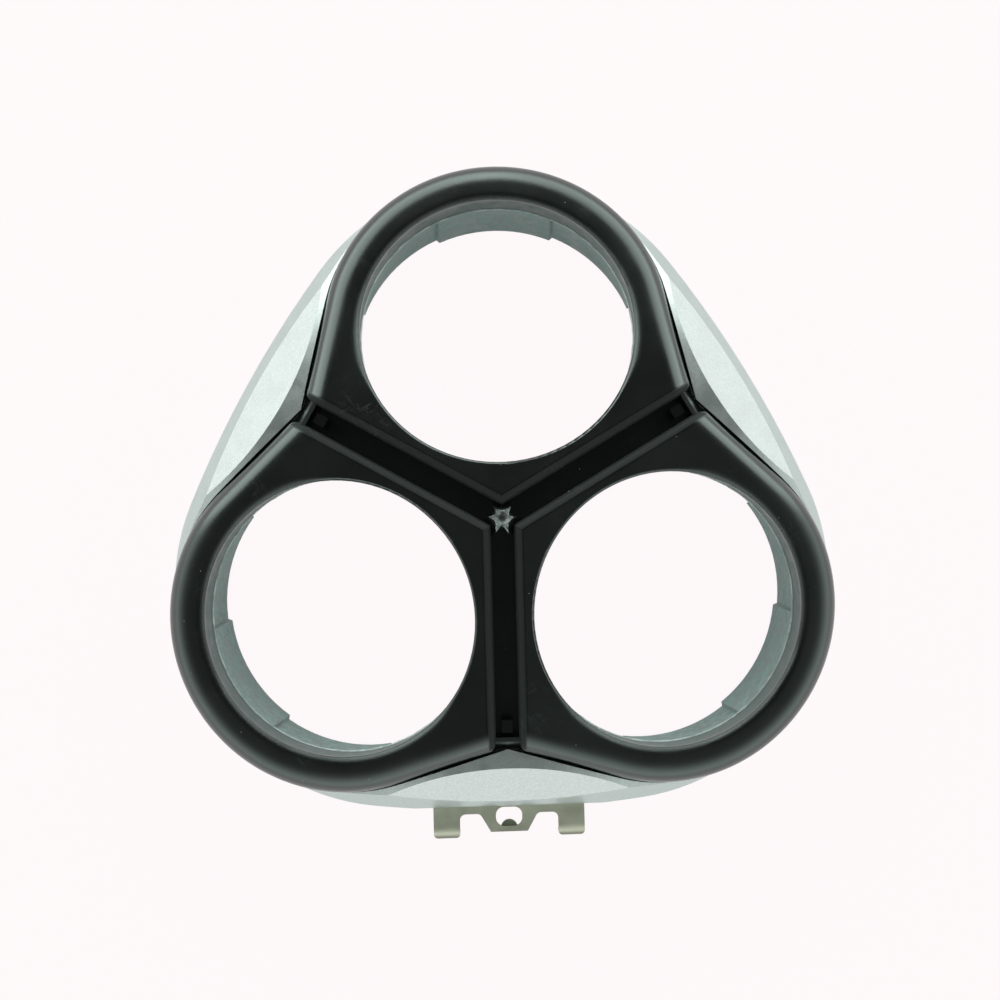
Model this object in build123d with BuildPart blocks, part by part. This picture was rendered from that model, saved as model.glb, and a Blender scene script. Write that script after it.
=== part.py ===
from build123d import *
from math import acos, atan2, cos, hypot, radians, sin, tan
import os

# Head frame of a three-headed rotary shaver, in millimetres.
# The base rim lies on z = 0, Z is the threefold axis and the hinge edge faces -Y.

# Lobes of the front frame
face_tilt = 13.0  # outward lean of each lobe's face, in degrees
centre_height = 19.5  # where the three faces would meet, above the base rim
window_radius = 13.45
window_web = 1.55  # wall between a window and the groove
window_rounding = 0.3
lip_thickness = 3.2
lobe_wall = 3.15  # from the head's seat to the outside of the lobe
lobe_depth = 3.7
lobe_rounding = 2.2
valley_run = 3.5  # from the circle of the window centres out to the meeting point of two lobes

# Head seats behind the windows
lip_width = 0.4
relief = 0.4
guide_wall = 1.0
guide_depth = 10.95  # from the face to the lower edge of the guide walls
guide_half_angle = 69.0
key_half_angle = 23.0
key_slant = 1.6  # lean of the sides of the key, in degrees round the seat
relief_run_out = 4.0  # how far the relief runs past the ends of the guide wall, in degrees

# Three-armed groove
groove_width = 2.2
groove_depth = 2.8
groove_rounding = 0.8
floor_thickness = 0.8
floor_overlap = 0.8  # how far the floor runs into the lobes on each side
end_wall = 1.05
end_wall_drop = 0.9
end_wall_flat = 0.35
nub_width = 1.05
nub_length = 1.2
nub_gap = 0.45
nub_drop = 1.3

# Torn gate mark at the hub
gate_cusp_radius = 1.45
gate_waist_radius = 0.95
gate_cusp_angle = 24.0
gate_drop = 0.9
gate_dimple_radius = 0.5
gate_dimple_depth = 0.4

# Outer shell
shell_wall = 1.4
shell_height = 17.0
waist_height = 4.0
waist_side_run = 6.96  # from the meeting point of two lobes out to the side of the shell
waist_corner_inset = 0.55  # how far the corners stand back under the lobes
waist_side_bow = 110.0  # radius of the long side arcs
top_side_run = 4.06
top_corner_inset = 1.25
top_side_bow = 91.0
crown_drop = 1.85  # from the ridge between two lobe faces down to the shell's barrel-shaped top band
crown_bow = 26.5  # radius of the barrel across the valley
crown_half_angle = 24.5
crown_run_out = 16.0  # straight run on each side of the barrel
facet_slope = 51.0
crease_height = 10.55
hinge_flat_inset = 0.4  # flat of the hinge side, set in from the bow of the wall
hinge_flat_height = 9.2
seam_gap = 0.12
deck_thickness = 1.2  # shelf in each valley that carries the lobes
deck_width = 3.6
head_room_gap = 0.3

# Hinge plate and its block in the shell
plate_thickness = 0.6
plate_bottom = 2.2
plate_half_width = 7.6
plate_root_depth = 1.6  # from the inside of the wall
leg_width = 2.65
leg_overhang = 2.9  # from the outside of the wall
leg_bend_radius = 0.6
leg_rounding = 0.5
leg_foot_height = 0.6
notch_overhang = 0.46
notch_rounding = 0.6
tab_overhang = 2.28
tab_root_half_width = 2.9
tab_end_half_width = 1.85
latch_width = 2.65
latch_length = 1.9
latch_rounding = 0.8
latch_bridge = 0.55
tooth_width = 1.6
tooth_reach_in = 0.6
block_margin = 0.9
block_depth = 2.6
block_bottom = 0.8
block_top = 4.4
slot_gap = 0.05

# Values that follow from the sizes above
tilt = radians(face_tilt)
valley_angle = radians(30)
head_radius = (window_radius + window_web + groove_width / 2) / cos(valley_angle)
window_height = centre_height - head_radius * tan(tilt)
seat_radius = window_radius + lip_width
lobe_radius = seat_radius + lobe_wall
lobe_reach = head_radius + lobe_radius * cos(tilt)
guide_radius = seat_radius + relief
valley_reach = head_radius + valley_run
ridge_slope = tan(tilt) * cos(radians(60))
through = 4 * centre_height

lobe_plane = Plane(
    origin=(0, head_radius, window_height), x_dir=(1, 0, 0), z_dir=(0, sin(tilt), cos(tilt))
)
seat_plane = lobe_plane.offset(-lip_thickness)
arm_plane = Plane(origin=(0, 0, 0), x_dir=(0, -1, 0), z_dir=(-1, 0, 0))


def ridge(reach, drop=0.0):
    """Point of the arm's mid plane, at a drop below the ridge where two faces meet."""
    return (reach, centre_height - ridge_slope * reach - drop)


def lobe_face(radius, reach, half_gap):
    """Outline of a lobe on its tilted face, with its inner sides half_gap from the groove's middle."""
    valley = Vector(reach * cos(valley_angle), (reach * sin(valley_angle) - head_radius) / cos(tilt))
    touch_angle = atan2(valley.Y, valley.X) + acos(radius / hypot(valley.X, valley.Y))
    touch = Vector(radius * cos(touch_angle), radius * sin(touch_angle))
    touch_plan_y = head_radius + touch.Y * cos(tilt)
    touch_lateral = touch_plan_y * cos(valley_angle) - touch.X * sin(valley_angle)
    corner = valley + (touch - valley) * (half_gap / touch_lateral)
    hub = (0, (half_gap / cos(valley_angle) - head_radius) / cos(tilt))
    with BuildSketch(lobe_plane) as face:
        with BuildLine():
            flare = Line(touch, corner)
            inner_side = Line(flare @ 1, hub)
            mirror(flare, Plane.YZ)
            mirror(inner_side, Plane.YZ)
            ThreePointArc((-touch.X, touch.Y), (0, radius), touch)
        make_face()
    return face.sketch


def ring_sector(inner, outer, start, size, lean=0.0):
    """Part of a flat ring behind the lip, its outer arc shorter by the lean; 90 degrees point outwards."""
    with BuildSketch(seat_plane) as sector:
        with BuildLine():
            inner_arc = CenterArc((0, 0), inner, start, size)
            outer_arc = CenterArc((0, 0), outer, start, size - lean)
            Line(inner_arc @ 0, outer_arc @ 0)
            Line(inner_arc @ 1, outer_arc @ 1)
        make_face()
    return sector.sketch


# One lobe, rounded outside, with its window
lobe_outline = lobe_face(lobe_radius, valley_reach, groove_width / 2)
with BuildPart() as lobe:
    extrude(lobe_outline, amount=lobe_depth, dir=(0, 0, -1))
    top = lobe.faces().filter_by(Axis((0, 0, 0), lobe_plane.z_dir)).sort_by(Axis.Z)[-1]
    outer_edges = top.edges().sort_by(Axis.Y)[2:]
    fillet(outer_edges, lobe_rounding)
    top = lobe.faces().filter_by(Axis((0, 0, 0), lobe_plane.z_dir)).sort_by(Axis.Z)[-1]
    groove_edges = top.edges().filter_by(GeomType.LINE).sort_by(Axis.Y)[:2]
    fillet(groove_edges, groove_rounding)
    with BuildSketch(lobe_plane):
        Circle(window_radius)
    extrude(amount=through, both=True, mode=Mode.SUBTRACT)
    window_edges = lobe.edges().filter_by(GeomType.CIRCLE)
    rim = window_edges.filter_by(lambda edge: abs(edge.radius - window_radius) < window_rounding / 4)
    fillet(rim.sort_by(Axis.Z)[-1], window_rounding)

# Floor of one arm of the groove, closed by an end wall at the valley
floor_depth = groove_depth + floor_thickness
end_wall_start = valley_reach - end_wall
with BuildPart() as arm_floor:
    with BuildSketch(arm_plane):
        with BuildLine():
            Polyline(
                ridge(0, floor_depth),
                ridge(0, groove_depth),
                ridge(end_wall_start, groove_depth),
                ridge(end_wall_start, end_wall_drop),
                ridge(end_wall_start + end_wall_flat, end_wall_drop),
                ridge(valley_reach, lobe_rounding),
                ridge(valley_reach, floor_depth),
                close=True,
            )
        make_face()
    extrude(amount=groove_width / 2 + floor_overlap, both=True)

# Small square stop on the floor, just inside the end wall
nub_end = end_wall_start - nub_gap
nub_root = groove_depth + floor_thickness / 2
with BuildPart() as nub:
    with BuildSketch(arm_plane):
        with BuildLine():
            Polyline(
                ridge(nub_end - nub_length, nub_root),
                ridge(nub_end - nub_length, nub_drop),
                ridge(nub_end, nub_drop),
                ridge(nub_end, nub_root),
                close=True,
            )
        make_face()
    extrude(amount=nub_width / 2, both=True)

# Room for a head behind the lip
with BuildPart() as seat:
    with BuildSketch(seat_plane):
        Circle(seat_radius)
    extrude(amount=-through)

# Guide wall on the outer side of a seat, and the two reliefs that leave a key between them
guide_start = 90 - guide_half_angle
guide_ring = ring_sector(window_radius, guide_radius + guide_wall, guide_start, 2 * guide_half_angle)
relief_size = guide_half_angle - key_half_angle + relief_run_out
relief_start = guide_start - relief_run_out
relief_ring = ring_sector(window_radius, guide_radius, relief_start, relief_size, key_slant)
with BuildPart() as guide:
    extrude(guide_ring, amount=lip_thickness - guide_depth)

with BuildPart() as reliefs:
    extrude(relief_ring, amount=-guide_depth)
    mirror(about=Plane.YZ)

# Six-pointed stump of the gate, with its bites facing the arms and the lobes
with BuildPart() as gate:
    gate_top = centre_height - gate_drop
    with BuildSketch(Plane.XY.offset(gate_top)):
        with BuildLine():
            for arm_angle in (30, 150, 270):
                first = Vector(gate_cusp_radius, 0).rotate(Axis.Z, arm_angle - gate_cusp_angle)
                second = Vector(gate_cusp_radius, 0).rotate(Axis.Z, arm_angle + gate_cusp_angle)
                after = Vector(gate_cusp_radius, 0).rotate(Axis.Z, arm_angle + 120 - gate_cusp_angle)
                arm_bite = Vector(gate_waist_radius, 0).rotate(Axis.Z, arm_angle)
                lobe_bite = Vector(gate_waist_radius, 0).rotate(Axis.Z, arm_angle + 60)
                ThreePointArc(first, arm_bite, second)
                ThreePointArc(second, lobe_bite, after)
        make_face()
    extrude(amount=gate_drop - nub_root)
    with Locations((0, 0, gate_top - gate_dimple_depth)):
        Cone(
            gate_dimple_radius / 2,
            gate_dimple_radius,
            gate_dimple_depth,
            align=(Align.CENTER, Align.CENTER, Align.MIN),
            mode=Mode.SUBTRACT,
        )

with BuildPart() as front_frame:
    with PolarLocations(0, 3):
        add(lobe.part)
        add(arm_floor.part)
        add(guide.part)
    with PolarLocations(0, 3):
        add(seat.part, mode=Mode.SUBTRACT)
        add(reliefs.part, mode=Mode.SUBTRACT)
    with PolarLocations(0, 3):
        add(nub.part)
    add(gate.part)


def rounded_triangle(height, side_reach, corner_reach, side_bow):
    """Outline with three long arcs of radius side_bow and three round corners that meet them smoothly."""
    behind = side_bow - side_reach
    spare = behind**2 + corner_reach**2 + behind * corner_reach - side_bow**2
    corner_radius = spare / (2 * corner_reach + behind - 2 * side_bow)
    corner_centre = corner_reach - corner_radius
    along = corner_centre * sin(radians(60))
    lean = atan2(along, behind + corner_centre / 2)
    joint = Vector(
        corner_centre / 2 + corner_radius * cos(lean), along + corner_radius * sin(lean)
    )
    other_joint = Vector(joint.X, -joint.Y)
    with BuildSketch(Plane.XY.offset(height)) as outline:
        with BuildLine():
            for side_angle in (30, 150, 270):
                side_end = joint.rotate(Axis.Z, side_angle)
                next_start = other_joint.rotate(Axis.Z, side_angle + 120)
                ThreePointArc(
                    other_joint.rotate(Axis.Z, side_angle),
                    Vector(side_reach, 0).rotate(Axis.Z, side_angle),
                    side_end,
                )
                ThreePointArc(
                    side_end, Vector(corner_reach, 0).rotate(Axis.Z, side_angle + 60), next_start
                )
        make_face()
    return outline.sketch


waist_side_reach = valley_reach + waist_side_run
top_side_reach = valley_reach + top_side_run
side_lean = (waist_side_reach - top_side_reach) / (shell_height - waist_height)


def shell_form(inset, foot):
    """Closed form of the shell from z = foot upwards, with its sides and facets set in by inset."""
    waist_corner_reach = lobe_reach - waist_corner_inset
    top_corner_reach = lobe_reach - top_corner_inset
    waist = (waist_side_reach - inset, waist_corner_reach - inset, waist_side_bow - inset)
    crest = (top_side_reach - inset, top_corner_reach - inset, top_side_bow - inset)
    foot_outline = rounded_triangle(foot, *waist)
    waist_outline = rounded_triangle(waist_height, *waist)
    crest_outline = rounded_triangle(shell_height, *crest)
    crease_reach = waist_side_reach - side_lean * (crease_height - waist_height)
    slope = radians(facet_slope)
    with BuildPart() as form:
        extrude(foot_outline, amount=waist_height - foot)
        loft([waist_outline, crest_outline], ruled=True)
        for angle in (30, 150, 270):
            facing = Vector(1, 0).rotate(Axis.Z, angle)
            normal = facing * sin(slope) + Vector(0, 0, cos(slope))
            facet = Plane(origin=facing * crease_reach + Vector(0, 0, crease_height), z_dir=normal)
            split(bisect_by=facet.offset(-inset), keep=Keep.BOTTOM)
    return form.part


# Air above the barrel-shaped band of one valley, down to the undersides of the lobes on both sides
ridge_plane = Plane(
    origin=(0, 0, centre_height - crown_drop), x_dir=(1, 0, 0), z_dir=(0, -1, -ridge_slope)
)
with BuildPart() as valley_air:
    with BuildSketch(ridge_plane):
        with BuildLine():
            bow = CenterArc((0, -crown_bow), crown_bow, 90, -crown_half_angle)
            flank = Line(bow @ 1, bow @ 1 + bow % 1 * crown_run_out)
            outer_wall = Line(flank @ 1, flank @ 1 + Vector(0, centre_height))
            Polyline(outer_wall @ 1, (0, (outer_wall @ 1).Y), bow @ 0)
        make_face()
    extrude(amount=through)
    near_lobe = Vector(1, 0).rotate(Axis.Z, -30)
    underside = Plane(
        origin=(0, 0, centre_height - lobe_depth), z_dir=near_lobe * sin(tilt) + Vector(0, 0, cos(tilt))
    )
    split(bisect_by=underside, keep=Keep.TOP)
    mirror(about=Plane.YZ)


# Room for a lobe in the shell: the lobe's own outline and depth, with the seam gap round it
lobe_room = lobe_face(lobe_radius + seam_gap, valley_reach + seam_gap, 0)
with BuildPart() as lobe_pocket:
    extrude(lobe_room, amount=lobe_depth, dir=(0, 0, -1))
    extrude(lobe_room, amount=through, dir=(0, 0, 1))

# Room for a head and its guide wall, all the way down through the shell
with BuildPart() as head_room:
    with BuildSketch(lobe_plane):
        Circle(guide_radius + guide_wall + head_room_gap)
    extrude(amount=-through)

# Air in front of the flat on the hinge side
flat_reach = waist_side_reach - hinge_flat_inset
flat_top_reach = waist_side_reach - side_lean * (hinge_flat_height - waist_height)
with BuildPart() as hinge_air:
    with BuildSketch(arm_plane):
        with BuildLine():
            Polyline(
                (flat_reach, -waist_height),
                (flat_reach, waist_height),
                (flat_top_reach, hinge_flat_height),
                (lobe_reach, hinge_flat_height),
                (lobe_reach, -waist_height),
                close=True,
            )
        make_face()
    extrude(amount=lobe_reach, both=True)

with BuildPart() as shell_outside:
    add(shell_form(0, 0))
    add(hinge_air.part, mode=Mode.SUBTRACT)
    with PolarLocations(0, 3):
        add(valley_air.part, mode=Mode.SUBTRACT)

# Hollow of the shell, roofed by the undersides of the decks that carry the lobes
deck_drop = lobe_depth * cos(tilt) + deck_thickness
with BuildPart() as shell_inside:
    add(shell_form(shell_wall, -waist_height))
    for angle in (90, 210, 330):
        facing = Vector(1, 0).rotate(Axis.Z, angle)
        normal = facing * sin(tilt) + Vector(0, 0, cos(tilt))
        lobe_faces = Plane(origin=(0, 0, centre_height), z_dir=normal)
        split(bisect_by=lobe_faces.offset(-deck_drop), keep=Keep.BOTTOM)

plate_top = plate_bottom + plate_thickness
block_half_width = plate_half_width + block_margin
wall_inside = waist_side_reach - shell_wall
plate_root_reach = wall_inside - plate_root_depth
leg_reach = waist_side_reach + leg_overhang
slot_start = plate_root_reach - slot_gap
with BuildPart() as outer_shell:
    add(shell_outside.part)
    add(shell_inside.part, mode=Mode.SUBTRACT)
    with Locations((0, -(wall_inside + shell_wall / 2), block_bottom)):
        Box(
            2 * block_half_width,
            block_depth + shell_wall / 2,
            block_top - block_bottom,
            align=(Align.CENTER, Align.MIN, Align.MIN),
        )
    Cylinder(valley_reach - deck_width, through, mode=Mode.SUBTRACT)
    with PolarLocations(0, 3):
        add(lobe_pocket.part, mode=Mode.SUBTRACT)
        add(head_room.part, mode=Mode.SUBTRACT)
    with Locations((0, -slot_start, plate_bottom - slot_gap)):
        Box(
            2 * (plate_half_width + slot_gap),
            leg_reach - slot_start,
            plate_thickness + 2 * slot_gap,
            align=(Align.CENTER, Align.MAX, Align.MIN),
            mode=Mode.SUBTRACT,
        )

# Stamped plate: root in the slot, two legs bent down at their ends, latch tab with a window
notch_reach = waist_side_reach + notch_overhang
tab_reach = waist_side_reach + tab_overhang
outer_bend = leg_bend_radius + plate_thickness
bend_start = leg_reach - outer_bend
leg_inside = plate_half_width - leg_width
leg_middle = plate_half_width - leg_width / 2

# Bent end of one leg, with its corners rounded in plan
leg_root = bend_start - leg_rounding
with BuildPart() as leg:
    with BuildSketch(arm_plane):
        with BuildLine():
            over = CenterArc((bend_start, plate_top - outer_bend), outer_bend, 0, 90)
            under = CenterArc((bend_start, plate_top - outer_bend), leg_bend_radius, 0, 90)
            root = Line((leg_root, plate_top), (leg_root, plate_bottom))
            Line(over @ 1, root @ 0)
            Line(under @ 1, root @ 1)
            foot = Line((leg_reach, leg_foot_height), (leg_reach - plate_thickness, leg_foot_height))
            Line(over @ 0, foot @ 0)
            Line(foot @ 1, under @ 0)
        make_face()
    extrude(amount=leg_width / 2, both=True)
    with BuildSketch():
        with Locations((0, -bend_start)):
            RectangleRounded(leg_width, 2 * outer_bend, leg_rounding)
    extrude(amount=plate_top, mode=Mode.INTERSECT)

with BuildPart() as hinge_plate:
    with BuildSketch(Plane.XY.offset(plate_bottom)):
        with BuildLine():
            half = Polyline(
                (0, -plate_root_reach),
                (plate_half_width, -plate_root_reach),
                (plate_half_width, -bend_start),
                (leg_inside, -bend_start),
                (leg_inside, -notch_reach),
                (tab_root_half_width, -notch_reach),
                (tab_end_half_width, -tab_reach),
                (0, -tab_reach),
            )
            mirror(half, Plane.YZ)
        make_face()
    extrude(amount=plate_thickness)
    notch_corners = hinge_plate.edges().filter_by(Axis.Z).filter_by(
        lambda edge: abs(edge.center().Y + notch_reach) < slot_gap
    )
    fillet(notch_corners, notch_rounding)
    with Locations((-leg_middle, 0, 0), (leg_middle, 0, 0)):
        add(leg.part)
    with BuildSketch(Plane.XY.offset(plate_bottom)):
        with Locations((0, -(tab_reach - latch_bridge - latch_length / 2))):
            RectangleRounded(latch_width, latch_length, latch_rounding)
    extrude(amount=plate_thickness, mode=Mode.SUBTRACT)
    tooth_half_width = tooth_width / 2
    bridge_inside = latch_bridge - tab_reach
    with BuildSketch(Plane.XY.offset(plate_bottom)):
        with BuildLine():
            Polyline(
                (-tooth_half_width, bridge_inside),
                (-tooth_half_width, -tab_reach),
                (tooth_half_width, -tab_reach),
                (tooth_half_width, bridge_inside),
            )
            ThreePointArc(
                (tooth_half_width, bridge_inside),
                (0, bridge_inside + tooth_reach_in),
                (-tooth_half_width, bridge_inside),
            )
        make_face()
    extrude(amount=-plate_thickness)

front_frame.part.label = "front_frame"
outer_shell.part.label = "outer_shell"
hinge_plate.part.label = "hinge_plate"

os.makedirs("parts", exist_ok=True)
export_step(front_frame.part, "parts/front_frame.step")
export_step(outer_shell.part, "parts/outer_shell.step")
export_step(hinge_plate.part, "parts/hinge_plate.step")
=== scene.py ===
import math
import random

import bpy
from mathutils import Matrix, Vector


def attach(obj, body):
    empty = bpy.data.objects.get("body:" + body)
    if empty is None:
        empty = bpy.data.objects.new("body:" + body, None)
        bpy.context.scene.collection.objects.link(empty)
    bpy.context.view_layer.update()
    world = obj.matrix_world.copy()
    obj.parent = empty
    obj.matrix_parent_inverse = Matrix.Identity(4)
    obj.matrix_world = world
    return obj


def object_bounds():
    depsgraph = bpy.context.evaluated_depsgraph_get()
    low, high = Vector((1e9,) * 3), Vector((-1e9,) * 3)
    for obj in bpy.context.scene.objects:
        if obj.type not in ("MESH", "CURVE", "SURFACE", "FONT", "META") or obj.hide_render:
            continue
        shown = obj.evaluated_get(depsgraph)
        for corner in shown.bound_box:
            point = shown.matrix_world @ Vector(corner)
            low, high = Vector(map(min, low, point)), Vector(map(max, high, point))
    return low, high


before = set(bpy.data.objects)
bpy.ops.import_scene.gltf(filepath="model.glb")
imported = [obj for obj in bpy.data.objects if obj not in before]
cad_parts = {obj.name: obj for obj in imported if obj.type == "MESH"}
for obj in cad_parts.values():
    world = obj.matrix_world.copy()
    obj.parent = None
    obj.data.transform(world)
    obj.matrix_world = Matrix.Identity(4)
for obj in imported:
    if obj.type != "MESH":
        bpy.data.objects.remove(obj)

cad_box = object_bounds()

# The head frame of a rotary shaver: satin black moulding, silver painted shell and stamped steel clip.
# Lengths are in metres; texture scales are in features per millimetre.

MM = 0.001

# Sizes of the front frame that the added details follow
FACE_TILT = math.radians(13.0)
CENTRE_HEIGHT = 19.5 * MM
WINDOW_RADIUS = 13.45 * MM
WINDOW_SPACING = 16.1 * MM  # from the middle of a groove to the middle of a window
HEAD_RADIUS = WINDOW_SPACING / math.cos(math.radians(30))
LIP_THICKNESS = 3.2 * MM
LOBE_ANGLES = (90, 210, 330)
GATE_TOP = CENTRE_HEIGHT - 0.9 * MM

# Mould flash along the lower edge of each lip, on the outer side that shows, pale as a painted highlight;
# angles in degrees
FLASH_RADIUS = 0.14 * MM
FLASH_UNEVEN = (0.75, 1.1)
FLASH_SIDES = 6
FLASH_HALF_ANGLE = 112
FLASH_STEP = 2

# Torn end of the gate: cusps as angle in degrees and radius in millimetres, and the bites between them
GATE_CUSPS = ((4, 1.2), (51, 1.56), (124, 1.2), (171, 1.45), (244, 1.6), (292, 1.62))
GATE_BITE = 0.82 * MM
GATE_ROUNDNESS = 0.6  # power of the sine between two cusps; less makes the bites squarer
GATE_RINGS = 14
GATE_STEP = 4
GATE_RAGGED = (0.93, 1.04)
GATE_UNEVEN = (0.25, 1.0)
GATE_DIMPLE = 0.6 * MM
GATE_HOLLOW = 0.18 * MM
GATE_RAISE = 0.28 * MM
GATE_SKIRT = 3 * GATE_RAISE
GATE_SEED = 7

# Camera: above the frame and leaning a little, as the photograph was taken
CAMERA_PLACE = Vector((-1.13, -2.34, 285.95)) * MM
CAMERA_LEAN = (0.0708, -0.0395, -0.0283)
CAMERA_LENS = 100.2
CAMERA_SHIFT = (-0.1012, -0.1543)
CAMERA_CLIP = (0.01, 10.0)

# Studio: a bright surround, a dark ceiling behind the camera and two large soft boxes at the far side.
# Each ceiling step is a cosine from the ceiling's axis and the share of the surround's light there.
SURROUND_COLOUR = (0.96, 1.0, 0.985)
SURROUND_STRENGTH = 1.56
CEILING_AXIS = Vector((-0.03, 0.14, 1.0)).normalized()
CEILING_STEPS = (
    (0.0, 1.0),
    (0.28, 0.8),
    (0.5, 0.46),
    (0.66, 0.2),
    (0.76, 0.09),
    (0.86, 0.036),
    (1.0, 0.018),
)
SOFT_BOX_DISTANCE = 0.7
SOFT_BOX_ELEVATION = math.radians(23)
SOFT_BOX_SIZE = (1.0, 0.56)
SOFT_BOX_POWERS = {125: 3.7, 55: 3.1}  # watts, by the direction in degrees in which the box stands
FLOOR_COLOUR = (0.94, 0.92, 0.925)
BACKGROUND_COLOUR = (1.0, 0.95, 0.96)
BACKGROUND_SHARE = 0.98  # how much of the floor's look is plain background; the rest shows the shadow
FLOOR_REACH = 3.0

# Tints of the finishes, by which a grey level is multiplied
TEAL = (0.86, 1.0, 0.96)
WALL = (0.7, 1.0, 0.93)
SILVER = (0.9, 1.0, 0.97)
OLIVE = (0.97, 1.0, 0.78)

# Black moulding: grey levels and gloss
PLASTIC_LEVELS = (0.003, 0.0055)
# Bore wall levels: dust plus painted light, with the paler painted light on the guide walls below the lips
LIP_LEVEL = 0.12
GUIDE_LEVEL = 0.46
DUST_LEVEL = 0.45
SCRATCH_LEVEL = 0.06
SCRATCH_STRENGTH = 0.5
SCRATCH_STRETCH = (12.0, 1.0, 12.0)
SCRATCH_WIDTH = 0.012  # of the noise's range beside its middle value
PLASTIC_ROUGHNESS = (0.2, 0.27)
MATT_ROUGHNESS = 0.5  # added where the plastic is fully matt
PLASTIC_IOR = 1.85
PLAIN_GLOSS = 0.5
GROOVE_GLOSS = 0.21
GROOVE_MATT = 0.9
GRAIN_DEPTH = 0.006 * MM

# Black moulding: where the finishes lie, as depths below the faces and distances from axes and grooves
WALL_DUST_AND_LIGHT_DEPTHS = (0.3 * MM, 1.2 * MM)  # the dust and painted light start, and are full
WALL_DUST_AND_LIGHT_RADII = (14.5 * MM, 14.9 * MM)  # the dust and painted light are full, and end
GUIDE_DEPTHS = (LIP_THICKNESS - 0.1 * MM, LIP_THICKNESS + 0.3 * MM)
GROOVE_EDGE_WIDTHS = (1.6 * MM, 2.0 * MM)
GROOVE_EDGE_DEPTHS = (0.9 * MM, 1.2 * MM)
SOFT_EDGE_RADIUS = 1.2 * MM
SOFT_EDGE_SAMPLES = 8
SOFT_EDGE_DEPTHS = (0.4 * MM, 0.9 * MM)
SOFT_EDGE_WIDTHS = (3.5 * MM, 7.0 * MM)

# Torn plastic, the pale painted highlight along the lips, paint and steel
TORN_LEVELS = (0.08, 0.55)
# Painted shade in the hollow of the torn gate
TORN_HOLLOW_SHADE_LEVEL = 0.05
TORN_HOLLOW_HEIGHTS = (GATE_TOP - 0.16 * MM, GATE_TOP + 0.1 * MM)
FIBRE_DEPTH = 0.05 * MM
# Pale painted highlight on the bead along the lips
FLASH_HIGHLIGHT_LEVELS = (0.4, 0.75)
PAINT_LEVELS = (0.62, 0.78)
PAINT_ROUGHNESS = (0.36, 0.44)
PAINT_EDGE_LEVEL = 0.75
FLAKE_DEPTH = 0.006 * MM
COARSE_FLAKE_DEPTH = 0.008 * MM
BARE_LEVELS = (0.05, 0.075)
BARE_LIMIT = -0.0005 * MM  # of the outward part of a face's normal times the distance from the axis
STEEL_LEVELS = (0.6, 0.84)
# Painted shade on the steel's steep faces: edges and bent leg tips
STEEP_SHADE_LEVEL = 0.24
STEEL_METAL = 0.55
STEEL_ROUGHNESS = (0.42, 0.58)
ROLLED_DEPTH = 0.01 * MM


def heading(angle):
    """Level unit vector in a direction in degrees."""
    return Vector((math.cos(math.radians(angle)), math.sin(math.radians(angle)), 0.0))


def window_frame(angle):
    """Frame of one window: its middle, with Z along its axis, out of the face."""
    centre_drop = HEAD_RADIUS * math.tan(FACE_TILT)
    window = Matrix.Rotation(math.radians(angle - 90), 4, "Z")
    window @= Matrix.Translation((0.0, HEAD_RADIUS, CENTRE_HEIGHT - centre_drop))
    return window @ Matrix.Rotation(-FACE_TILT, 4, "X")


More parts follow.
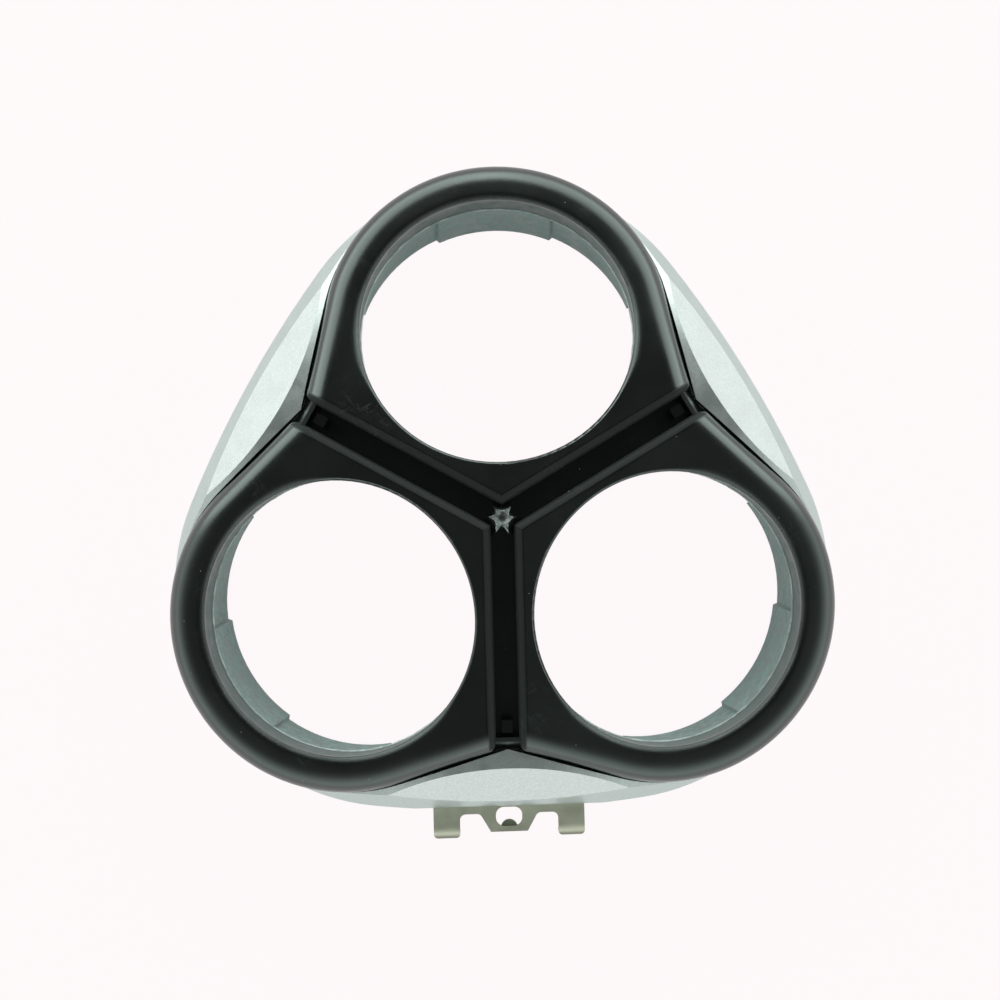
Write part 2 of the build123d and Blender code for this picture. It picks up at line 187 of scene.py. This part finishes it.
class Finish:
    """A procedural material: one Principled shader, and short calls that add nodes and join them."""

    def __init__(self, name):
        self.material = bpy.data.materials.new(name)
        self.material.use_nodes = True
        self.nodes = self.material.node_tree.nodes
        self.links = self.material.node_tree.links
        self.shader = self.nodes["Principled BSDF"]
        self.place = self.nodes.new("ShaderNodeTexCoord").outputs["Object"]

    def feed(self, socket, value):
        """Joins another node's output to a socket, or sets the socket's own value."""
        if isinstance(value, bpy.types.NodeSocket):
            self.links.new(value, socket)
        else:
            socket.default_value = value

    def surface(self, **values):
        """Sets sockets of the shader; Base_Color stands for Base Color."""
        for name, value in values.items():
            self.feed(self.shader.inputs[name.replace("_", " ")], value)

    def stretched(self, stretch, turn=0.0):
        """The place on the object for a texture drawn out along X, Y and Z and then turned about Z."""
        mapping = self.nodes.new("ShaderNodeMapping")
        mapping.vector_type = "TEXTURE"
        self.links.new(self.place, mapping.inputs["Vector"])
        mapping.inputs["Rotation"].default_value = (0.0, 0.0, turn)
        mapping.inputs["Scale"].default_value = stretch
        return mapping.outputs["Vector"]

    def noise(self, per_mm, detail=2.0, roughness=0.5, place=None):
        """Cloudy noise from 0 to 1."""
        texture = self.nodes.new("ShaderNodeTexNoise")
        self.links.new(place or self.place, texture.inputs["Vector"])
        texture.inputs["Scale"].default_value = per_mm / MM
        texture.inputs["Detail"].default_value = detail
        texture.inputs["Roughness"].default_value = roughness
        return texture.outputs["Fac"]

    def cells(self, per_mm):
        """Voronoi cells: the distance to the cell's middle, and three random values for each cell."""
        texture = self.nodes.new("ShaderNodeTexVoronoi")
        self.links.new(self.place, texture.inputs["Vector"])
        texture.inputs["Scale"].default_value = per_mm / MM
        return texture.outputs["Distance"], self.parts(texture.outputs["Color"])

    def ramp(self, value, start, end, low=0.0, high=1.0):
        """Smooth step of a value from low at start to high at end."""
        step = self.nodes.new("ShaderNodeMapRange")
        step.interpolation_type = "SMOOTHSTEP"
        self.links.new(value, step.inputs["Value"])
        step.inputs["From Min"].default_value = start
        step.inputs["From Max"].default_value = end
        step.inputs["To Min"].default_value = low
        step.inputs["To Max"].default_value = high
        return step.outputs["Result"]

    def rising(self, value, limits):
        """0 below the limits, 1 above them, and smooth between."""
        return self.ramp(value, limits[0], limits[1])

    def falling(self, value, limits, high=1.0):
        """The high value below the limits, 0 above them, and smooth between."""
        return self.ramp(value, limits[1], limits[0], 0.0, high)

    def math(self, operation, first, second=0.0):
        """One arithmetic step on two values."""
        step = self.nodes.new("ShaderNodeMath")
        step.operation = operation
        self.feed(step.inputs[0], first)
        self.feed(step.inputs[1], second)
        return step.outputs["Value"]

    def chain(self, operation, values):
        """All the values joined one after the other by the same arithmetic step."""
        total = values[0]
        for value in values[1:]:
            total = self.math(operation, total, value)
        return total

    def product(self, *values):
        """All the values multiplied."""
        return self.chain("MULTIPLY", values)

    def mix(self, share, first, second):
        """Colour between first and second."""
        step = self.nodes.new("ShaderNodeMix")
        step.data_type = "RGBA"
        self.feed(step.inputs["Factor"], share)
        colours = [socket for socket in step.inputs if socket.type == "RGBA"]
        self.feed(colours[0], first)
        self.feed(colours[1], second)
        return [socket for socket in step.outputs if socket.type == "RGBA"][0]

    def blend(self, share, levels, tint):
        """Colour between two grey levels of one tint."""
        return self.mix(share, shade(levels[0], tint), shade(levels[1], tint))

    def parts(self, vector):
        """X, Y and Z of a vector."""
        split = self.nodes.new("ShaderNodeSeparateXYZ")
        self.links.new(vector, split.inputs["Vector"])
        return split.outputs

    def vector(self, operation, first, second):
        """One step on two vectors; a dot product and a distance give a number."""
        step = self.nodes.new("ShaderNodeVectorMath")
        step.operation = operation
        self.feed(step.inputs[0], first)
        self.feed(step.inputs[1], second)
        return step.outputs["Value" if operation in ("DOT_PRODUCT", "DISTANCE") else "Vector"]

    def window_radius(self):
        """Distance from the axis of the nearest window."""
        radii = []
        for angle in LOBE_ANGLES:
            window = window_frame(angle)
            axis = window.col[2].to_3d()
            centre = window.translation
            # The cross product with the axis has the distance from the axis as its length
            across = self.vector("CROSS_PRODUCT", self.vector("SUBTRACT", self.place, centre), axis)
            radii.append(self.vector("DISTANCE", across, (0.0, 0.0, 0.0)))
        return self.chain("MINIMUM", radii)

    def lobe_place(self):
        """Depth straight down below the tilted faces, and distance from the middle of the nearest groove."""
        reaches = [self.vector("DOT_PRODUCT", self.place, heading(angle)) for angle in LOBE_ANGLES]
        most = self.chain("MAXIMUM", reaches)
        least = self.chain("MINIMUM", reaches)
        drop = self.math("MULTIPLY", most, math.tan(FACE_TILT))
        depth = self.math("SUBTRACT", CENTRE_HEIGHT, self.math("ADD", drop, self.parts(self.place)["Z"]))
        # The three reaches add up to nothing, so the gap between the two greatest is 2 * most + least
        gap = self.math("ADD", self.math("MULTIPLY", most, 2.0), least)
        return depth, self.math("DIVIDE", gap, math.sqrt(3.0))

    def softened(self, radius):
        """The surface's normal with its edges softened to a radius."""
        edge = self.nodes.new("ShaderNodeBevel")
        edge.samples = SOFT_EDGE_SAMPLES
        self.feed(edge.inputs["Radius"], radius)
        return edge.outputs["Normal"]

    def normal(self):
        """The surface's own normal."""
        return self.nodes.new("ShaderNodeNewGeometry").outputs["Normal"]

    def steepness(self):
        """0 on level surfaces and 1 on upright ones."""
        return self.math("SUBTRACT", 1.0, self.math("ABSOLUTE", self.parts(self.normal())["Z"]))

    def bump(self, height, depth, strength, over=None):
        """Relief of the given depth in metres, on top of another relief if one is given."""
        relief = self.nodes.new("ShaderNodeBump")
        relief.inputs["Distance"].default_value = depth
        relief.inputs["Strength"].default_value = strength
        self.links.new(height, relief.inputs["Height"])
        if over is not None:
            self.links.new(over, relief.inputs["Normal"])
        return relief.outputs["Normal"]


def shade(level, tint):
    """Opaque colour of one grey level, tinted."""
    return tuple(level * part for part in tint) + (1.0,)


def specks(finish, per_mm, size, share):
    """Small dots at random places: a share of the cells has one, of the given size in cells."""
    distance, pick = finish.cells(per_mm)
    reach = finish.ramp(pick["Y"], 0.0, 1.0, low=0.4 * size, high=size)
    inside = finish.math("LESS_THAN", distance, reach)
    return finish.product(inside, finish.math("LESS_THAN", pick["X"], share))


def scratches(finish, turn, per_mm):
    """Fine straight scratches along one direction, broken into short lengths."""
    along = finish.stretched(SCRATCH_STRETCH, turn)
    line = finish.math("ABSOLUTE", finish.math("SUBTRACT", finish.noise(per_mm, place=along), 0.5))
    broken = finish.ramp(finish.noise(0.16, detail=3.0), 0.56, 0.66)
    return finish.product(finish.ramp(line, SCRATCH_WIDTH, 0.0), broken)


def dust_and_light_on_walls(finish, depth):
    """Where the walls of the windows take their pale tone, in cloudy patches: dust together with painted
    light.
    """
    upright = finish.ramp(finish.steepness(), 0.5, 0.68)
    inside = finish.falling(finish.window_radius(), WALL_DUST_AND_LIGHT_RADII)
    patches = finish.ramp(finish.noise(0.9, detail=5.0, roughness=0.66), 0.34, 0.66, low=0.5, high=1.0)
    return finish.product(upright, inside, finish.rising(depth, WALL_DUST_AND_LIGHT_DEPTHS), patches)


def black_plastic():
    """Satin black moulding: fine grain, cloudy sheen, dust, fine scratches, and bores made pale by dust and
    painted light.
    """
    finish = Finish("satin_black")
    depth, aside = finish.lobe_place()
    clouds = finish.noise(0.12, detail=4.0, roughness=0.6)
    grain = finish.noise(7.0)
    colour = finish.blend(clouds, PLASTIC_LEVELS, TEAL)

    # Walls of the windows, pale with dust and painted light, and paler below the lips where more light is
    # painted
    dust_and_light = dust_and_light_on_walls(finish, depth)
    wall = finish.blend(finish.rising(depth, GUIDE_DEPTHS), (LIP_LEVEL, GUIDE_LEVEL), WALL)
    colour = finish.mix(dust_and_light, colour, wall)

    # Dust and short fine scratches
    coarse_dust = specks(finish, per_mm=0.62, size=0.06, share=0.12)
    fine_dust = specks(finish, per_mm=1.7, size=0.07, share=0.05)
    dust = finish.math("MAXIMUM", coarse_dust, fine_dust)
    colour = finish.mix(dust, colour, shade(DUST_LEVEL, TEAL))
    one_way = scratches(finish, turn=0.5, per_mm=2.2)
    other_way = scratches(finish, turn=-0.9, per_mm=1.6)
    rubs = finish.math("MAXIMUM", one_way, other_way)
    colour = finish.mix(finish.product(rubs, SCRATCH_STRENGTH), colour, shade(SCRATCH_LEVEL, TEAL))

    # Matt walls, and matt and dull edges along the grooves
    groove_edge = finish.product(finish.falling(aside, GROOVE_EDGE_WIDTHS),
                                 finish.falling(depth, GROOVE_EDGE_DEPTHS, GROOVE_MATT))
    matt = finish.math("MAXIMUM", groove_edge, dust_and_light)
    sheen = finish.ramp(clouds, 0.2, 0.8, *PLASTIC_ROUGHNESS)
    roughness = finish.math("ADD", sheen, finish.product(matt, MATT_ROUGHNESS))
    gloss = finish.ramp(groove_edge, 0.0, GROOVE_MATT, PLAIN_GLOSS, GROOVE_GLOSS)

    # Softer outer edges of the faces, away from the grooves
    edge_radius = finish.product(finish.falling(depth, SOFT_EDGE_DEPTHS),
                                 finish.ramp(aside, *SOFT_EDGE_WIDTHS, high=SOFT_EDGE_RADIUS))
    relief = finish.bump(grain, GRAIN_DEPTH, strength=0.5, over=finish.softened(edge_radius))
    finish.surface(Base_Color=colour, Roughness=roughness, Normal=relief, IOR=PLASTIC_IOR)
    finish.surface(Specular_Tint=shade(1.0, TEAL), Specular_IOR_Level=gloss)
    return finish.material


def torn_plastic():
    """Stress-whitened plastic of the torn gate, with short fibres, and painted shade that darkens it lower
    down, in its hollow.
    """
    finish = Finish("torn_plastic")
    height = finish.parts(finish.place)["Z"]
    along = finish.stretched((1.0, 2.2, 1.0), turn=0.6)
    fibres = finish.noise(2.4, detail=4.0, roughness=0.65, place=along)
    colour = finish.blend(finish.ramp(fibres, 0.34, 0.64), TORN_LEVELS, TEAL)
    # Painted shade: darker lower down, in the hollow
    hollow = finish.falling(height, TORN_HOLLOW_HEIGHTS)
    colour = finish.mix(hollow, colour, shade(TORN_HOLLOW_SHADE_LEVEL, TEAL))
    relief = finish.bump(fibres, FIBRE_DEPTH, strength=0.6)
    finish.surface(Base_Color=colour, Roughness=0.55, Normal=relief)
    return finish.material


def pale_flash_highlight():
    """Pale plastic along the lips' lower edges: a painted highlight on the moulded bead."""
    finish = Finish("pale_flash_highlight")
    tone = finish.ramp(finish.noise(0.7, detail=4.0, roughness=0.6), 0.3, 0.7)
    finish.surface(Base_Color=finish.blend(tone, FLASH_HIGHLIGHT_LEVELS, TEAL), Roughness=0.5)
    return finish.material


def silver_paint():
    """Silver metallic paint outside, with flakes that catch the light one by one; bare plastic inside."""
    finish = Finish("silver_paint")
    flake = finish.cells(11.0)[1]
    coarse = finish.cells(5.0)[1]
    mottle = finish.noise(0.5, detail=3.0)
    sparkle = finish.math("ADD", finish.product(flake["X"], 0.7), finish.product(coarse["X"], 0.3))
    colour = finish.blend(sparkle, PAINT_LEVELS, SILVER)
    roughness = finish.ramp(mottle, 0.3, 0.7, *PAINT_ROUGHNESS)

    # Faces that look towards the threefold axis carry no paint
    from_axis = finish.vector("MULTIPLY", finish.place, (1.0, 1.0, 0.0))
    facing_out = finish.vector("DOT_PRODUCT", finish.normal(), from_axis)
    unpainted = finish.math("LESS_THAN", facing_out, BARE_LIMIT)
    colour = finish.mix(unpainted, colour, finish.blend(mottle, BARE_LEVELS, TEAL))
    metal = finish.math("SUBTRACT", 1.0, unpainted)

    relief = finish.bump(flake["Y"], FLAKE_DEPTH, strength=0.65)
    relief = finish.bump(coarse["Z"], COARSE_FLAKE_DEPTH, strength=0.35, over=relief)
    finish.surface(Base_Color=colour, Metallic=metal, Roughness=roughness, Normal=relief)
    finish.surface(Specular_Tint=shade(PAINT_EDGE_LEVEL, SILVER))
    return finish.material


def stamped_steel():
    """Dull stamped sheet steel with an olive cast, rolled grain along X, and painted shade that darkens its
    steep faces: edges and bent leg tips.
    """
    finish = Finish("stamped_steel")
    rolled = finish.noise(1.2, detail=4.0, place=finish.stretched((4.0, 0.35, 0.35)))
    blotches = finish.noise(0.6, detail=4.0, roughness=0.6)
    colour = finish.blend(blotches, STEEL_LEVELS, OLIVE)
    # Painted shade on steep faces, the edges and the bent-down leg tips
    steep_shade = finish.ramp(finish.steepness(), 0.01, 0.5)
    colour = finish.mix(steep_shade, colour, shade(STEEP_SHADE_LEVEL, OLIVE))
    roughness = finish.ramp(blotches, 0.25, 0.75, *STEEL_ROUGHNESS)
    relief = finish.bump(rolled, ROLLED_DEPTH, strength=0.35)
    finish.surface(Base_Color=colour, Metallic=STEEL_METAL, Roughness=roughness, Normal=relief)
    return finish.material


def dress(node, material):
    """Gives a node of the frame its finish."""
    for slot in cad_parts[node].material_slots:
        slot.material = material


def add_piece(name, points, faces, material):
    """A new piece that rides the frame, from points in metres."""
    mesh = bpy.data.meshes.new(name)
    mesh.from_pydata(points, [], faces)
    for face in mesh.polygons:
        face.use_smooth = True
    mesh.materials.append(material)
    piece = bpy.data.objects.new(name, mesh)
    bpy.context.scene.collection.objects.link(piece)
    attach(piece, "root")


def grid_faces(rows, columns):
    """Quads of a grid of points kept row by row, joined round each row."""
    faces = []
    for row in range(rows - 1):
        for column in range(columns):
            after = (column + 1) % columns
            first, second = row * columns, (row + 1) * columns
            faces.append((first + column, first + after, second + after, second + column))
    return faces


def flash_highlight_bead(angle, material):
    """Thin uneven moulded bead along the lower edge of one lip, which carries a pale painted highlight."""
    window = window_frame(angle)
    dice = random.Random(angle)
    turns = range(90 - FLASH_HALF_ANGLE, 90 + FLASH_HALF_ANGLE + 1, FLASH_STEP)
    points = []
    for turn in turns:
        thickness = FLASH_RADIUS * dice.uniform(*FLASH_UNEVEN)
        for side in range(FLASH_SIDES):
            around = 2 * math.pi * side / FLASH_SIDES
            radius = WINDOW_RADIUS + thickness * math.cos(around)
            depth = LIP_THICKNESS + thickness * math.sin(around)
            points.append(window @ (heading(turn) * radius - Vector((0.0, 0.0, depth))))
    add_piece(f"flash_highlight_bead_{angle}", points, grid_faces(len(turns), FLASH_SIDES), material)


def gate_outline(turn):
    """Radius of the torn gate in one direction: a round bite between each two cusps."""
    first_angle, first_radius = GATE_CUSPS[0]
    cusps = GATE_CUSPS + ((first_angle + 360, first_radius),)
    turn = (turn - first_angle) % 360 + first_angle
    # The last cusp that is not past the direction, and the one after it
    before = max(index for index, (angle, _) in enumerate(cusps) if angle <= turn)
    (start, near), (end, far) = cusps[before:before + 2]
    share = (turn - start) / (end - start)
    straight = (near + (far - near) * share) * MM
    sag = math.sin(math.pi * share) ** GATE_ROUNDNESS
    return straight + (GATE_BITE - straight) * sag


def torn_gate(material):
    """Ragged end of the gate where the three arms of the groove meet, with a hollow in its middle."""
    dice = random.Random(GATE_SEED)
    turns = range(0, 360, GATE_STEP)
    points = []
    for ring in range(GATE_RINGS + 1):
        share = ring / GATE_RINGS
        for turn in turns:
            ragged = dice.uniform(*GATE_RAGGED) if 0 < ring < GATE_RINGS else 1.0
            radius = gate_outline(turn) * share * ragged
            height = GATE_RAISE * dice.uniform(*GATE_UNEVEN)
            if radius < GATE_DIMPLE:
                height = -GATE_HOLLOW + (height + GATE_HOLLOW) * (radius / GATE_DIMPLE) ** 2
            if ring == GATE_RINGS:
                height = -GATE_SKIRT
            points.append(heading(turn) * radius + Vector((0.0, 0.0, GATE_TOP + height)))
    add_piece("torn_gate", points, grid_faces(GATE_RINGS + 1, len(turns)), material)


def floor():
    """Pale floor that shows the plain background to the camera and to reflections, and keeps the shadow."""
    mesh = bpy.data.meshes.new("floor")
    corners = [(x * FLOOR_REACH, y * FLOOR_REACH) for x, y in ((-1, -1), (1, -1), (1, 1), (-1, 1))]
    mesh.from_pydata([(x, y, cad_box[0].z) for x, y in corners], [], [(0, 1, 2, 3)])
    plane = bpy.data.objects.new("floor", mesh)
    bpy.context.scene.collection.objects.link(plane)

    finish = Finish("pale_floor")
    finish.surface(Base_Color=shade(1.0, FLOOR_COLOUR), Roughness=0.9, Specular_IOR_Level=0.0)
    rays = finish.nodes.new("ShaderNodeLightPath").outputs
    kinds = ("Is Camera Ray", "Is Glossy Ray", "Is Transmission Ray")
    seen = finish.chain("MAXIMUM", [rays[kind] for kind in kinds])
    background = finish.nodes.new("ShaderNodeEmission")
    background.inputs["Color"].default_value = shade(1.0, BACKGROUND_COLOUR)
    background.inputs["Strength"].default_value = 1.0
    blend = finish.nodes.new("ShaderNodeMixShader")
    finish.links.new(finish.product(seen, BACKGROUND_SHARE), blend.inputs["Fac"])
    finish.links.new(finish.shader.outputs["BSDF"], blend.inputs[1])
    finish.links.new(background.outputs["Emission"], blend.inputs[2])
    finish.links.new(blend.outputs["Shader"], finish.nodes["Material Output"].inputs["Surface"])
    mesh.materials.append(finish.material)


def surround():
    """Bright soft surround that dims in steps towards a dark ceiling."""
    world = bpy.data.worlds.new("studio")
    world.use_nodes = True
    bpy.context.scene.world = world
    nodes = world.node_tree.nodes
    links = world.node_tree.links
    background = nodes["Background"]
    background.inputs["Strength"].default_value = SURROUND_STRENGTH
    direction = nodes.new("ShaderNodeTexCoord").outputs["Generated"]
    height = nodes.new("ShaderNodeVectorMath")
    height.operation = "DOT_PRODUCT"
    links.new(direction, height.inputs[0])
    height.inputs[1].default_value = CEILING_AXIS
    ramp = nodes.new("ShaderNodeValToRGB")
    links.new(height.outputs["Value"], ramp.inputs["Fac"])
    stops = ramp.color_ramp.elements
    while len(stops) < len(CEILING_STEPS):
        stops.new(1.0)
    for stop, (place, level) in zip(stops, CEILING_STEPS):
        stop.position = place
        stop.color = shade(level, SURROUND_COLOUR)
    links.new(ramp.outputs["Color"], background.inputs["Color"])


def soft_box(direction, power):
    """Large soft lamp at the far side, which lights the outer edge of the far lobe."""
    lamp = bpy.data.lights.new(f"soft_box_{direction}", "AREA")
    lamp.shape = "RECTANGLE"
    lamp.size, lamp.size_y = SOFT_BOX_SIZE
    lamp.energy = power
    lamp.color = SURROUND_COLOUR
    place = heading(direction) * math.cos(SOFT_BOX_ELEVATION)
    place.z = math.sin(SOFT_BOX_ELEVATION)
    holder = bpy.data.objects.new(lamp.name, lamp)
    holder.location = place * SOFT_BOX_DISTANCE
    holder.rotation_euler = (-place).to_track_quat("-Z", "Y").to_euler()
    bpy.context.scene.collection.objects.link(holder)


def camera():
    """Camera above the frame, with the photograph's framing."""
    view = bpy.data.cameras.new("camera")
    view.lens = CAMERA_LENS
    view.shift_x, view.shift_y = CAMERA_SHIFT
    view.clip_start, view.clip_end = CAMERA_CLIP
    holder = bpy.data.objects.new("camera", view)
    holder.location = CAMERA_PLACE
    holder.rotation_euler = CAMERA_LEAN
    bpy.context.scene.collection.objects.link(holder)
    bpy.context.scene.camera = holder


dress("front_frame", black_plastic())
dress("outer_shell", silver_paint())
dress("hinge_plate", stamped_steel())
torn_gate(torn_plastic())
# The pale bead along each lip is a painted highlight
flash_highlight = pale_flash_highlight()
for lobe_angle in LOBE_ANGLES:
    flash_highlight_bead(lobe_angle, flash_highlight)

floor()
surround()
for box_direction, box_power in SOFT_BOX_POWERS.items():
    soft_box(box_direction, box_power)
camera()
bpy.context.scene.view_settings.view_transform = "Standard"
